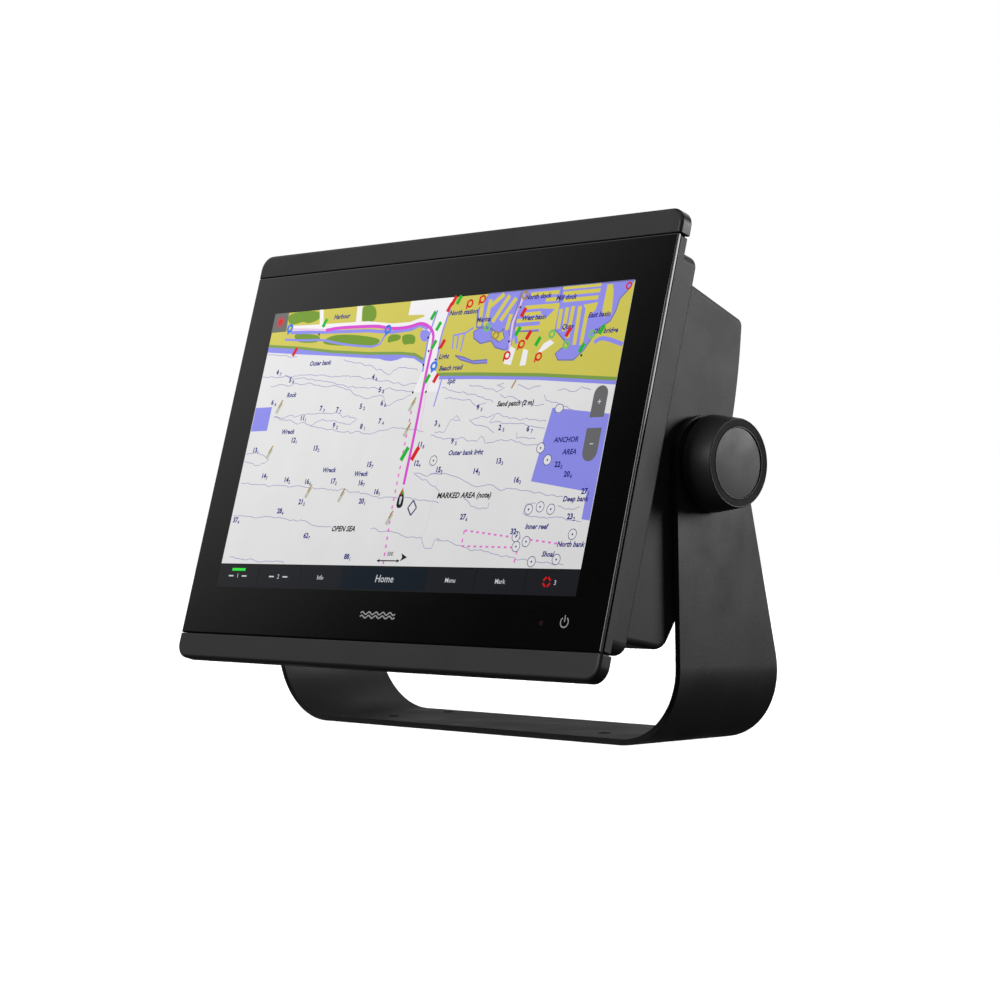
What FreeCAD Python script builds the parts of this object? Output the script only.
"""Chartplotter display on a bail mount, in millimetres.

Z is up, X runs across the display and the screen faces -Y. The origin lies on the mounting surface, at the centre of
the bracket's four screw holes. The display is drawn upright in its own frame (X across, Y back from the glass, Z up
from the picture's centre) and is then tilted and set on the clamp axis.
"""

import FreeCAD, Part

import math
import os

V = FreeCAD.Vector

# Clamp axis, about which the display tilts, and the tilt it stands at.
AXIS_Y = -16.8
AXIS_Z = 111.3
AXIS_BACK = 48.1
AXIS_UP = 3.1
TILT = 15.5

# Bail bracket, bent from one plate.
PLATE = 2.5
ARM_OUT = 120.8
BEND_R = 32.0
BASE_FRONT = -34.4
BASE_BACK = 28.0
ARM_END_R = 19.0
ARM_FRONT = 37.3
ARM_BACK = 1.0
HOLE_X = 64.0
HOLE_Y = 17.0
HOLE_R = 3.1
STUD_HOLE_R = 4.3

# Cover glass and picture.
GLASS_W = 126.3
GLASS_TOP = 81.3
GLASS_BOTTOM = -84.2
GLASS_T = 1.8
PICTURE_W = 108.5
PICTURE_H = 63.2
BOND_T = 0.3

# Bezel and the two clip-fitted trims.
BEZEL_FRONT = GLASS_T + BOND_T
BEZEL_BACK = 5.6
TRIM_W = 127.0
TRIM_TOP = 92.1
TRIM_BOTTOM = -95.4
TRIM_BACK = 6.1
TRIM_WALL = 1.8
TRIM_CORNER = 6.5
JOINT_GAP = 0.25

# Front housing, a shallow tray.
TRAY_W = 124.0
TRAY_TOP = 77.2
TRAY_BOTTOM = -82.3
TRAY_BACK = 16.9
TRAY_WALL = 3.0
SEAL_T = 0.6

# Rear housing.
CAN_W = 116.5
CAN_FRONT = TRAY_BACK + SEAL_T
CAN_WALL = 3.0
CAN_BACK_WALL = 4.6
CAN_TOP = 70.6
CAN_BOTTOM = -76.0
CAN_CORNERS = ((57.6, 65.8), (69.8, -1.0), (46.0, -73.1))
CAN_TOP_R = 3.4
CAN_BOW_R = 240.0
CAN_FOOT_R = 7.5
FIN_DEPTH = 1.8
FIN_PITCH = 9.0
FIN_COUNT = 13

# Clamp parts on each side: pad, arm, washer, knob.
PAD_R = 17.0
PAD_T = ARM_OUT - PLATE - CAN_W
WASHER_R = 11.0
WASHER_T = 1.6
KNOB_BACK = ARM_OUT + WASHER_T
KNOB_FRONT = 135.4
KNOB_BACK_R = 19.3
KNOB_FRONT_R = 17.2
STUD_R = 3.9
STUD_END = 97.0
INSERT_R = 7.5
INSERT_BORE_R = 4.0
INSERT_START = 100.0

# Rear ports: name, place across, thread radius.
PORT_UP = -38.0
PORT_BASE = 52.0
PORTS = (("power_port", -84.0, 9.0), ("network_port_a", -54.0, 7.5), ("network_port_b", -26.0, 7.5),
         ("sounder_port", 6.0, 10.5), ("instrument_port", 38.0, 7.5), ("video_port", 68.0, 8.5))

NODES = {}


def box(x0, x1, y0, y1, z0, z1):
    return Part.makeBox(x1 - x0, y1 - y0, z1 - z0, V(x0, y0, z0))


def cylinder(radius, start, axis, length):
    return Part.makeCylinder(radius, length, V(*start), V(*axis))


def tube(outer, inner, start, axis, length):
    return cylinder(outer, start, axis, length).cut(cylinder(inner, start, axis, length))


def rounded_wire(corners, lift):
    """A closed outline through corners (a, b, radius), each rounded by a tangent arc. lift turns (a, b) into 3-D."""
    edges = []
    joins = []
    for i, (a, b, radius) in enumerate(corners):
        here = V(a, b, 0)
        back = (V(*corners[i - 1][:2], 0) - here).normalize()
        ahead = (V(*corners[(i + 1) % len(corners)][:2], 0) - here).normalize()
        half = back.getAngle(ahead) / 2
        if radius <= 0:
            joins.append((here, None, here))
            continue
        reach = radius / math.tan(half)
        centre = here + (back + ahead).normalize() * (radius / math.sin(half))
        middle = centre + (here - centre).normalize() * radius
        joins.append((here + back * reach, middle, here + ahead * reach))
    for i, (start, middle, end) in enumerate(joins):
        if middle is not None:
            edges.append(Part.Arc(lift(start), lift(middle), lift(end)).toShape())
        edges.append(Part.LineSegment(lift(end), lift(joins[(i + 1) % len(joins)][0])).toShape())
    return Part.Wire(edges)


def side_prism(corners, x0, x1):
    """An outline given as (back, up, radius), drawn out along X from x0 to x1."""
    wire = rounded_wire(corners, lambda p: V(x0, p.x, p.y))
    return Part.Face(wire).extrude(V(x1 - x0, 0, 0))


def front_prism(corners, y0, y1):
    """An outline given as (across, up, radius), drawn out along Y from y0 to y1."""
    wire = rounded_wire(corners, lambda p: V(p.x, y0, p.y))
    return Part.Face(wire).extrude(V(0, y1 - y0, 0))


def rectangle(half, low, high, radius):
    return [(-half, low, radius), (half, low, radius), (half, high, radius), (-half, high, radius)]


def soften(shape, radius, chosen):
    """Rounds the edges whose middle point passes the test called chosen."""
    edges = [e for e in shape.Edges if chosen(e.valueAt((e.FirstParameter + e.LastParameter) / 2))]
    return shape.makeFillet(radius, edges) if edges else shape


def union(shapes):
    joined = shapes[0]
    for shape in shapes[1:]:
        joined = joined.fuse(shape)
    return joined.removeSplitter()


def group(shapes):
    return Part.makeCompound(shapes)


def tilted(shape):
    """Carries a piece from the display's own frame to its place on the clamp axis."""
    moved = shape.copy()
    moved.translate(V(0, AXIS_Y - AXIS_BACK, AXIS_Z - AXIS_UP))
    moved.rotate(V(0, AXIS_Y, AXIS_Z), V(1, 0, 0), -TILT)
    return moved


def keep(name, shape):
    NODES[name] = shape


def keep_display(name, shape):
    keep(name, tilted(shape))


# Bail bracket

def bail_bracket():
    plate = front_prism([(-ARM_OUT, AXIS_Z + ARM_END_R, 0), (-ARM_OUT, 0, BEND_R), (ARM_OUT, 0, BEND_R),
                         (ARM_OUT, AXIS_Z + ARM_END_R, 0)], BASE_FRONT - 9, BASE_BACK + 1)
    inside = ARM_OUT - PLATE
    hollow = front_prism([(-inside, AXIS_Z + ARM_END_R + 1, 0), (-inside, PLATE, BEND_R - PLATE),
                          (inside, PLATE, BEND_R - PLATE), (inside, AXIS_Z + ARM_END_R + 1, 0)],
                         BASE_FRONT - 10, BASE_BACK + 2)
    top = AXIS_Z + ARM_END_R
    profile = [(BASE_FRONT, 0, 0), (BASE_BACK, 0, 0), (BASE_BACK - 0.4, 5.0, 8.0), (BASE_BACK - 3.9, 34.0, 60.0),
               (-ARM_BACK, top, 15.0), (-ARM_FRONT, top, 17.0)]
    shape = plate.cut(hollow).common(side_prism(profile, -ARM_OUT - 1, ARM_OUT + 1))
    for x in (-HOLE_X, HOLE_X):
        for y in (-HOLE_Y, HOLE_Y):
            shape = shape.cut(cylinder(HOLE_R, (x, y, -1), (0, 0, 1), PLATE + 2))
    bore = cylinder(STUD_HOLE_R, (-ARM_OUT - 1, AXIS_Y, AXIS_Z), (1, 0, 0), 2 * ARM_OUT + 2)
    return shape.cut(bore)


# Front of the display

def cover_glass():
    shape = box(-GLASS_W, GLASS_W, 0, GLASS_T, GLASS_BOTTOM, GLASS_TOP)
    return shape.makeChamfer(0.35, [e for e in shape.Edges if e.CenterOfMass.y < 0.01])


def glass_bond():
    outer = rectangle(GLASS_W - 1.2, GLASS_BOTTOM + 1.2, GLASS_TOP - 1.2, 1.0)
    window = rectangle(PICTURE_W + 4.6, -PICTURE_H - 4.6, PICTURE_H + 4.6, 1.0)
    frame = front_prism(outer, GLASS_T, BEZEL_FRONT).cut(front_prism(window, GLASS_T - 1, BEZEL_FRONT + 1))
    return frame.cut(sensor_pocket(0.2))


def trim_outline(inset, up):
    """The trims' rounded outer outline, for the top (up = 1) or bottom (up = -1) of the display."""
    high = (TRIM_TOP if up > 0 else -TRIM_BOTTOM) - inset
    half = TRIM_W - inset
    corner = max(TRIM_CORNER - inset, 1.0)
    inner = 30.0
    points = [(-half, inner, 0), (half, inner, 0), (half, high, corner), (-half, high, corner)]
    return points if up > 0 else [(x, -z, r) for x, z, r in reversed(points)]


LUG_PLACES = (-96.0, -32.0, 32.0, 96.0)


def trim_lugs(up, grow, y1):
    """Lugs on the inside of a trim that clip it on; grow makes the matching notches in the bezel."""
    edge = (TRIM_TOP if up > 0 else TRIM_BOTTOM) - up * TRIM_WALL
    lugs = []
    for x in LUG_PLACES:
        z0, z1 = sorted((edge + up * 0.6, edge - up * (2.2 + grow)))
        lugs.append(box(x - 4 - grow, x + 4 + grow, GLASS_T - 0.3, y1, z0, z1))
    return lugs


def front_bezel():
    middle = front_prism(rectangle(GLASS_W, GLASS_BOTTOM + 0.4, GLASS_TOP - 0.4, 0.6), BEZEL_FRONT, BEZEL_BACK)
    inset = TRIM_WALL + JOINT_GAP
    blade = []
    for up in (1, -1):
        blade.append(front_prism(trim_outline(inset, up), BEZEL_FRONT, BEZEL_BACK))
    shape = union([middle] + blade)
    window = rectangle(PICTURE_W + 4.5, -PICTURE_H - 4.5, PICTURE_H + 4.5, 1.0)
    shape = shape.cut(front_prism(window, BEZEL_FRONT - 1, BEZEL_BACK + 1)).cut(sensor_pocket(0.2))
    for up in (1, -1):
        for notch in trim_lugs(up, 0.3, BEZEL_BACK + 1):
            shape = shape.cut(notch)
    return shape


def trim(up):
    """A clip-fitted trim: a front face, an outer rim that wraps over the bezel, and four lugs."""
    groove = (GLASS_TOP if up > 0 else GLASS_BOTTOM) + up * JOINT_GAP
    shape = front_prism(trim_outline(0, up), 0, TRIM_BACK)
    shape = soften(shape, 1.5, lambda p: p.y < 0.01 and abs(p.z) > abs(groove) + 1)
    hollow = front_prism(trim_outline(TRIM_WALL, up), GLASS_T, TRIM_BACK + 1)
    z0, z1 = sorted((0, groove))
    shape = shape.cut(hollow).cut(box(-TRIM_W - 1, TRIM_W + 1, -1, TRIM_BACK + 1, z0, z1))
    return union([shape] + trim_lugs(up, 0, TRIM_BACK - 1.6))


def lcd_panel():
    return box(-PICTURE_W - 3, PICTURE_W + 3, GLASS_T + 0.1, GLASS_T + 1.9, -PICTURE_H - 3, PICTURE_H + 3)


def backlight_unit():
    frame = box(-PICTURE_W - 3.5, PICTURE_W + 3.5, 3.9, 8.9, -PICTURE_H - 3.5, PICTURE_H + 3.5)
    pocket = box(-PICTURE_W, PICTURE_W, 7.0, 9.5, -PICTURE_H, PICTURE_H)
    return frame.cut(pocket)


def lcd_chassis():
    plate = front_prism(rectangle(114.5, -69.5, 68.5, 4.0), 9.2, 10.4)
    for x in (-72.0, -24.0, 24.0, 72.0):
        plate = plate.cut(front_prism(
            [(x - 15, -42, 4), (x + 15, -42, 4), (x + 15, 42, 4), (x - 15, 42, 4)], 9, 11))
    return plate


def sensor_pocket(grow):
    return box(90.0 - grow, 96.0 + grow, GLASS_T + 0.1 - grow, 4.0 + grow, -77.0 - grow, -71.0 + grow)


def light_sensor():
    return sensor_pocket(0)


# Housings

def front_housing():
    shape = front_prism(rectangle(TRAY_W, TRAY_BOTTOM, TRAY_TOP, 5.0), BEZEL_BACK, TRAY_BACK)
    shape = soften(shape, 2.2, lambda p: abs(p.y - TRAY_BACK) < 0.01 and p.z > TRAY_BOTTOM + 8)
    inside = rectangle(TRAY_W - TRAY_WALL, TRAY_BOTTOM + TRAY_WALL, TRAY_TOP - TRAY_WALL, 3.0)
    shape = shape.cut(front_prism(inside, BEZEL_BACK - 1, TRAY_BACK - TRAY_WALL))
    opening = rectangle(CAN_W - 9.0, -68.0, 61.0, 4.0)
    return shape.cut(front_prism(opening, BEZEL_BACK, TRAY_BACK + 1))


def can_profile(inset, back_inset, front):
    """Side outline of the rear housing from the plane called front: sloped top, long curved back, rounded foot."""
    (top_y, top_z), (bow_y, bow_z), (foot_y, foot_z) = CAN_CORNERS
    return [(front, CAN_TOP - inset, 0),
            (top_y - back_inset, top_z - inset, max(CAN_TOP_R - inset, 0.8)),
            (bow_y - back_inset, bow_z, CAN_BOW_R - back_inset - inset),
            (foot_y - back_inset, foot_z + inset, CAN_FOOT_R - inset),
            (front, CAN_BOTTOM + inset, 0)]


SCREW_PLACES = ((-104.0, 50.0), (104.0, 50.0), (-104.0, -58.0), (104.0, -58.0))
SCREW_R = 2.0
SCREW_HEAD_R = 3.8
SCREW_SEAT = 42.0


def can_screw_holes():
    cuts = []
    for x, z in SCREW_PLACES:
        cuts.append(cylinder(SCREW_R + 0.2, (x, CAN_FRONT - 2, z), (0, 1, 0), 60))
        cuts.append(cylinder(SCREW_HEAD_R + 0.3, (x, SCREW_SEAT, z), (0, 1, 0), 40))
    return cuts


def fin_grooves():
    outer = can_profile(0, -1.0, CAN_FRONT)
    inner = can_profile(0, FIN_DEPTH, CAN_FRONT)
    grooves = []
    first = -(FIN_COUNT - 1) / 2 * FIN_PITCH
    for i in range(FIN_COUNT):
        x = first + i * FIN_PITCH
        ring = side_prism(outer, x - 2.6, x + 2.6).cut(side_prism(inner, x - 3, x + 3))
        grooves.append(ring.common(box(x - 4, x + 4, 40, 80, -12, 54)))
    return grooves


def rear_housing():
    shape = side_prism(can_profile(0, 0, CAN_FRONT), -CAN_W, CAN_W)
    shape = soften(shape, 2.5, lambda p: abs(abs(p.x) - CAN_W) < 0.01 and p.y > CAN_FRONT + 0.5)
    shape = shape.cut(side_prism(can_profile(CAN_WALL, CAN_BACK_WALL, CAN_FRONT - 1),
                                 -CAN_W + CAN_WALL, CAN_W - CAN_WALL))
    solid = side_prism(can_profile(0, 1.0, CAN_FRONT), -CAN_W + 1, CAN_W - 1)
    posts = []
    for x, z in SCREW_PLACES:
        posts.append(cylinder(6.2, (x, CAN_FRONT, z), (0, 1, 0), 60).common(solid))
    for side in (-1, 1):
        start = CAN_W - 1.0
        stock = cylinder(INSERT_R + 3, (side * (INSERT_START - 2), AXIS_BACK, AXIS_UP), (side, 0, 0),
                         start - INSERT_START + 2)
        posts.append(stock.common(solid))
    shape = union([shape] + posts)
    for cut in can_screw_holes() + fin_grooves():
        shape = shape.cut(cut)
    for side in (-1, 1):
        shape = shape.cut(cylinder(INSERT_R, (side * INSERT_START, AXIS_BACK, AXIS_UP), (side, 0, 0), 40))
        shape = shape.cut(cylinder(STUD_R + 0.5, (side * (STUD_END - 2), AXIS_BACK, AXIS_UP), (side, 0, 0), 40))
    for name, x, radius in PORTS:
        shape = shape.cut(cylinder(radius, (x, 40, PORT_UP), (0, 1, 0), 40))
    shape = shape.cut(cylinder(VENT_R, (94.0, 40, VENT_UP), (0, 1, 0), 40))
    return shape


def housing_seal():
    outer = rectangle(CAN_W - 1.5, -74.5, 67.5, 4.0)
    inner = rectangle(CAN_W - 4.5, -71.5, 64.5, 2.5)
    return front_prism(outer, TRAY_BACK, CAN_FRONT).cut(front_prism(inner, TRAY_BACK - 1, CAN_FRONT + 1))


def housing_screws():
    screws = []
    for x, z in SCREW_PLACES:
        shank = cylinder(SCREW_R, (x, TRAY_BACK - 2.2, z), (0, 1, 0), SCREW_SEAT - TRAY_BACK + 2.3)
        head = cylinder(SCREW_HEAD_R, (x, SCREW_SEAT, z), (0, 1, 0), 3.0)
        socket = front_prism([(x + 1.7 * math.cos(k * math.pi / 3), z + 1.7 * math.sin(k * math.pi / 3), 0)
                              for k in range(6)], SCREW_SEAT + 1.2, SCREW_SEAT + 4)
        screws.append(shank.fuse(head).cut(socket))
    return group(screws)


# Electronics

BOARD_BACK = 24.6
BOARD_POSTS = ((-80.0, -44.0), (80.0, -44.0), (-80.0, 44.0), (80.0, 44.0), (0.0, 44.0))


def main_board():
    board = front_prism(rectangle(86.0, -50.0, 50.0, 3.0), BOARD_BACK - 1.6, BOARD_BACK)
    for x, z in BOARD_POSTS:
        board = board.cut(cylinder(1.7, (x, 20, z), (0, 1, 0), 10))
    return board


def board_posts():
    return group([tube(3.2, 1.3, (x, 10.4, z), (0, 1, 0), BOARD_BACK - 12.0) for x, z in BOARD_POSTS])


def board_screws():
    screws = []
    for x, z in BOARD_POSTS:
        shank = cylinder(1.25, (x, 16.0, z), (0, 1, 0), BOARD_BACK - 16.0)
        screws.append(shank.fuse(cylinder(2.8, (x, BOARD_BACK, z), (0, 1, 0), 1.8)))
    return group(screws)


def processor_shield():
    shell = box(-28, 22, BOARD_BACK, BOARD_BACK + 3.4, -18, 26)
    return shell.cut(box(-27.5, 21.5, BOARD_BACK - 1, BOARD_BACK + 2.9, -17.5, 25.5))


def heat_spreader():
    plate = front_prism([(-34, -24, 3), (28, -24, 3), (28, 30, 3), (-34, 30, 3)], BOARD_BACK + 4.2, BOARD_BACK + 6.2)
    pad = box(-22, 16, BOARD_BACK + 3.4, BOARD_BACK + 4.2, -12, 20)
    ribs = [box(x, x + 1.6, BOARD_BACK + 6.2, BOARD_BACK + 22, -22, 28) for x in range(-30, 27, 8)]
    return union([plate, pad] + ribs)


def power_board():
    board = box(30, 84, BOARD_BACK + 8.0, BOARD_BACK + 9.6, -22, 40)
    coil = cylinder(6.0, (44, BOARD_BACK + 9.6, 24), (0, 1, 0), 7)
    cans = [cylinder(4.0, (62 + 10 * i, BOARD_BACK + 9.6, 26), (0, 1, 0), 10) for i in range(2)]
    legs = [cylinder(1.5, (x, BOARD_BACK, z), (0, 1, 0), 8) for x in (34, 74) for z in (-16, 34)]
    return union([board, coil] + cans + legs)


def satellite_antenna():
    patch = box(-78, -46, BOARD_BACK, BOARD_BACK + 1.6, 6, 38)
    tile = box(-74.5, -49.5, BOARD_BACK + 1.6, BOARD_BACK + 6.0, 9.5, 34.5)
    return patch.fuse(tile).removeSplitter()


def radio_module():
    return box(-70, -50, BOARD_BACK, BOARD_BACK + 2.6, -26, -4)


def sounder_board():
    return box(-40, 26, BOARD_BACK, BOARD_BACK + 2.4, -46, -24)


def buzzer():
    return tube(6.5, 1.2, (58, BOARD_BACK, -36), (0, 1, 0), 5.0)


# Rear ports with their caps on

def back_surface(z):
    """How far back the rear housing's curved back stands at height z."""
    top, bow, foot = (V(y, up, 0) for y, up in CAN_CORNERS)
    to_top = (top - bow).normalize()
    to_foot = (foot - bow).normalize()
    half = to_top.getAngle(to_foot) / 2
    centre = bow + (to_top + to_foot).normalize() * (CAN_BOW_R / math.sin(half))
    return centre.x + math.sqrt(CAN_BOW_R ** 2 - (z - centre.y) ** 2)


def port_shell(x, radius):
    """A threaded bulkhead shell with a flange against the housing, its socket facing back."""
    seat = back_surface(PORT_UP - radius)
    top = back_surface(PORT_UP + radius) + 7.0
    shell = cylinder(radius - 0.1, (x, PORT_BASE - 6, PORT_UP), (0, 1, 0), top - PORT_BASE + 6)
    socket = cylinder(radius - 1.8, (x, seat - 2, PORT_UP), (0, 1, 0), 30)
    return shell.cut(socket)


def port_pins(x, radius):
    seat = back_surface(PORT_UP - radius)
    ring = radius - 4.0
    count = 5
    pins = []
    for k in range(count):
        turn = 2 * math.pi * k / count
        pins.append(cylinder(0.6, (x + ring * math.cos(turn), seat - 2, PORT_UP + ring * math.sin(turn)),
                             (0, 1, 0), 6))
    return pins


def port_cap(x, radius):
    """A screw-on weather cap with twelve grip grooves."""
    foot = back_surface(PORT_UP + radius + 2.2) + 0.6
    outer = radius + 2.0
    length = 11.0
    cap = cylinder(outer, (x, foot, PORT_UP), (0, 1, 0), length)
    cap = soften(cap, 1.0, lambda p: p.y > foot + length - 0.01)
    cap = cap.cut(cylinder(radius + 0.1, (x, foot - 1, PORT_UP), (0, 1, 0), length - 1.2))
    for k in range(12):
        turn = 2 * math.pi * k / 12
        cap = cap.cut(cylinder(0.8, (x + outer * math.cos(turn), foot - 1, PORT_UP + outer * math.sin(turn)),
                               (0, 1, 0), length - 1.5))
    return cap


VENT_UP = -40.0
VENT_R = 3.0


def vent_plug():
    seat = back_surface(VENT_UP)
    stem = cylinder(VENT_R - 0.05, (94.0, seat - 6, VENT_UP), (0, 1, 0), 6.2)
    head = cylinder(5.2, (94.0, back_surface(VENT_UP + 5.2) + 0.1, VENT_UP), (0, 1, 0), 2.4)
    return union([stem, head, cylinder(VENT_R - 0.05, (94.0, seat, VENT_UP), (0, 1, 0), 2.0)])


# Clamp on each side; side is -1 for the left, 1 for the right

def axis_tube(outer, inner, side, x0, x1):
    return tube(outer, inner, (side * x0, AXIS_Y, AXIS_Z), (side, 0, 0), x1 - x0)


def friction_pad(side):
    return axis_tube(PAD_R, STUD_R + 0.6, side, CAN_W, CAN_W + PAD_T)


def threaded_insert(side):
    return axis_tube(INSERT_R, INSERT_BORE_R, side, INSERT_START, CAN_W)


def thrust_washer(side):
    return axis_tube(WASHER_R, STUD_R + 0.1, side, ARM_OUT, ARM_OUT + WASHER_T)


def turned(side, points):
    """A solid of revolution about the clamp axis; points are (across, radius)."""
    wire = Part.makePolygon([V(side * x, AXIS_Y, AXIS_Z + r) for x, r in points + points[:1]])
    return Part.Face(wire).revolve(V(0, AXIS_Y, AXIS_Z), V(1, 0, 0), 360)


CAP_R = 13.8
CAP_SEAT = KNOB_FRONT - 2.6


def knob_body(side):
    """A tapered grip with a raised rim, hollow at the back, and a seat for the cap and the stud's head."""
    rim = 1.2
    outline = [(KNOB_BACK, 5.2), (KNOB_BACK, 9.0), (KNOB_BACK + 4.0, 9.0), (KNOB_BACK + 4.0, KNOB_BACK_R - 2.4),
               (KNOB_BACK, KNOB_BACK_R - 2.4), (KNOB_BACK, KNOB_BACK_R - 0.4), (KNOB_BACK + 0.5, KNOB_BACK_R),
               (KNOB_FRONT - 1.6, KNOB_FRONT_R + 0.3), (KNOB_FRONT - 0.5, KNOB_FRONT_R - 0.2),
               (KNOB_FRONT, KNOB_FRONT_R - rim), (KNOB_FRONT, CAP_R + 1.4), (KNOB_FRONT - 0.6, CAP_R + 0.2),
               (CAP_SEAT, CAP_R + 0.2), (CAP_SEAT, 7.2), (KNOB_BACK + 4.6, 7.2), (KNOB_BACK + 4.6, 5.2)]
    return turned(side, outline)


def knob_cap(side):
    """The slightly domed disc set in the knob's face."""
    return turned(side, [(CAP_SEAT, 0), (CAP_SEAT, CAP_R), (KNOB_FRONT - 1.3, CAP_R), (KNOB_FRONT - 0.8, CAP_R - 0.5),
                         (KNOB_FRONT - 0.5, 9.0), (KNOB_FRONT - 0.3, 0)])


def knob_stud(side):
    """The clamp screw: a head held in the knob and a shank that reaches the housing's insert."""
    head = [(STUD_END, 0), (STUD_END, STUD_R - 0.8), (STUD_END + 0.8, STUD_R), (KNOB_BACK, STUD_R), (KNOB_BACK, 5.2),
            (KNOB_BACK + 4.6, 5.2), (KNOB_BACK + 4.6, 7.2), (CAP_SEAT, 7.2), (CAP_SEAT, 0)]
    return turned(side, head)


def build():
    keep("bail_bracket", bail_bracket())
    keep_display("cover_glass", cover_glass())
    keep_display("glass_bond", glass_bond())
    keep_display("front_bezel", front_bezel())
    keep_display("top_trim", trim(1))
    keep_display("bottom_trim", trim(-1))
    keep_display("lcd_panel", lcd_panel())
    keep_display("backlight_unit", backlight_unit())
    keep_display("lcd_chassis", lcd_chassis())
    keep_display("light_sensor", light_sensor())
    keep_display("front_housing", front_housing())
    keep_display("housing_seal", housing_seal())
    keep_display("rear_housing", rear_housing())
    keep_display("housing_screws", housing_screws())
    keep_display("main_board", main_board())
    keep_display("board_posts", board_posts())
    keep_display("board_screws", board_screws())
    keep_display("processor_shield", processor_shield())
    keep_display("heat_spreader", heat_spreader())
    keep_display("power_board", power_board())
    keep_display("satellite_antenna", satellite_antenna())
    keep_display("radio_module", radio_module())
    keep_display("sounder_board", sounder_board())
    keep_display("buzzer", buzzer())
    keep_display("vent_plug", vent_plug())
    for name, x, radius in PORTS:
        keep_display(name, port_shell(x, radius))
        keep_display(name.replace("port", "port_cap"), port_cap(x, radius))
    pins = [pin for name, x, radius in PORTS for pin in port_pins(x, radius)]
    keep_display("port_pins", group(pins))
    for word, side in (("left", -1), ("right", 1)):
        keep("friction_pad_" + word, friction_pad(side))
        keep("threaded_insert_" + word, threaded_insert(side))
        keep("thrust_washer_" + word, thrust_washer(side))
        keep("knob_body_" + word, knob_body(side))
        keep("knob_cap_" + word, knob_cap(side))
        keep("knob_stud_" + word, knob_stud(side))


build()
os.makedirs("parts", exist_ok=True)
for node, solid in sorted(NODES.items()):
    solid.exportStep("parts/" + node + ".step")
    box_size = solid.BoundBox
    print(node, len(solid.Solids), solid.isValid(), round(solid.Volume),
          [round(v, 1) for v in (box_size.XLength, box_size.YLength, box_size.ZLength)])
